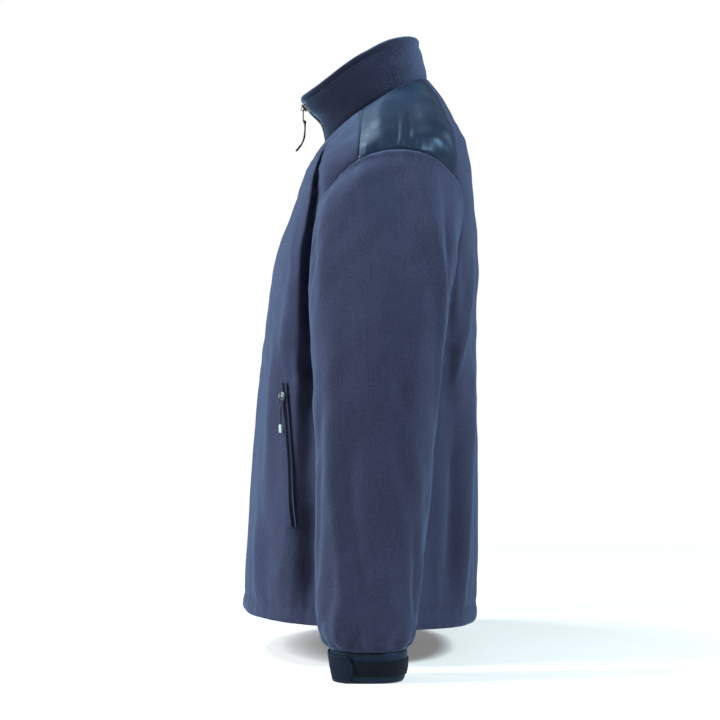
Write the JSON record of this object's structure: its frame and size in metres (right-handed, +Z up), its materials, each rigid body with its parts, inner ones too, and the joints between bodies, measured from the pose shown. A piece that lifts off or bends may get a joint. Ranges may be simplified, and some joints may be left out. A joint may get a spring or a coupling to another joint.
{
  "type": "fleece zip jacket",
  "caption": "Fleece jacket in its worn shape with nobody in it: standing collar, zipped front, woven shoulder panels, zipped hand pockets and tabbed cuffs.",
  "frame": {"origin": "on the jacket's mid plane, level with the shoulders that carry it, in the middle of the neck and shoulder space", "axes": "+Z up, the jacket's front faces -Y, the wearer's left is +X"},
  "size_m": [0.691, 0.3151, 0.8133],
  "materials": {
    "fleece": "matte navy pile with a fine upright rib",
    "collar_fleece": "matte navy pile, two layers turned over the top edge",
    "woven": "smooth satin navy weave",
    "loop_tape": "dark looped tape",
    "zip_tape": "dark woven tape",
    "dark_metal": "dark lacquer",
    "bright_metal": "satin grey",
    "pull_cord": "near-black cord with a moulded grip",
    "pull_tip": "light grey"
  },
  "bodies": {
    "jacket": {"front_left": "fleece", "front_right": "fleece", "back": "fleece", "yoke_left": "woven", "yoke_right": "woven", "collar": "collar_fleece", "sleeve_left": "fleece", "sleeve_right": "fleece", "cuff_left": "woven", "cuff_right": "woven", "cuff_loop_tape_left": "loop_tape", "cuff_loop_tape_right": "loop_tape", "cuff_tab_left": "woven", "cuff_tab_right": "woven", "zip_tape_left": "zip_tape", "zip_tape_right": "zip_tape", "zip_chain": "zip_tape", "front_zip_slider": "dark_metal", "pocket_lip_front_left": "fleece", "pocket_lip_front_right": "fleece", "pocket_lip_back_left": "fleece", "pocket_lip_back_right": "fleece", "pocket_zip_left": "zip_tape", "pocket_zip_right": "zip_tape", "pocket_slider_left": "bright_metal", "pocket_slider_right": "bright_metal"},
    "front_pull": {"front_zip_pull": "pull_cord"},
    "pocket_pull_body_left": {"pocket_pull_left": "pull_cord", "pocket_pull_tip_left": "pull_tip"},
    "pocket_pull_body_right": {"pocket_pull_right": "pull_cord", "pocket_pull_tip_right": "pull_tip"}
  },
  "joints": [
    {"name": "front_pull_swing", "type": "hinge", "parent": "jacket", "child": "front_pull", "pos_m": [0, -0.09665, 0.01804], "axis": [-1, 0, 0], "range_deg": [-8, 120]},
    {"name": "pocket_pull_swing_left", "type": "hinge", "parent": "jacket", "child": "pocket_pull_body_left", "pos_m": [0.15935, -0.12116, -0.3668], "axis": [-0.8001, -0.5999, 0], "range_deg": [0, 120]},
    {"name": "pocket_pull_swing_right", "type": "hinge", "parent": "jacket", "child": "pocket_pull_body_right", "pos_m": [-0.15927, -0.1211, -0.36681], "axis": [-0.8023, 0.5969, 0], "range_deg": [0, 120]}
  ]
}
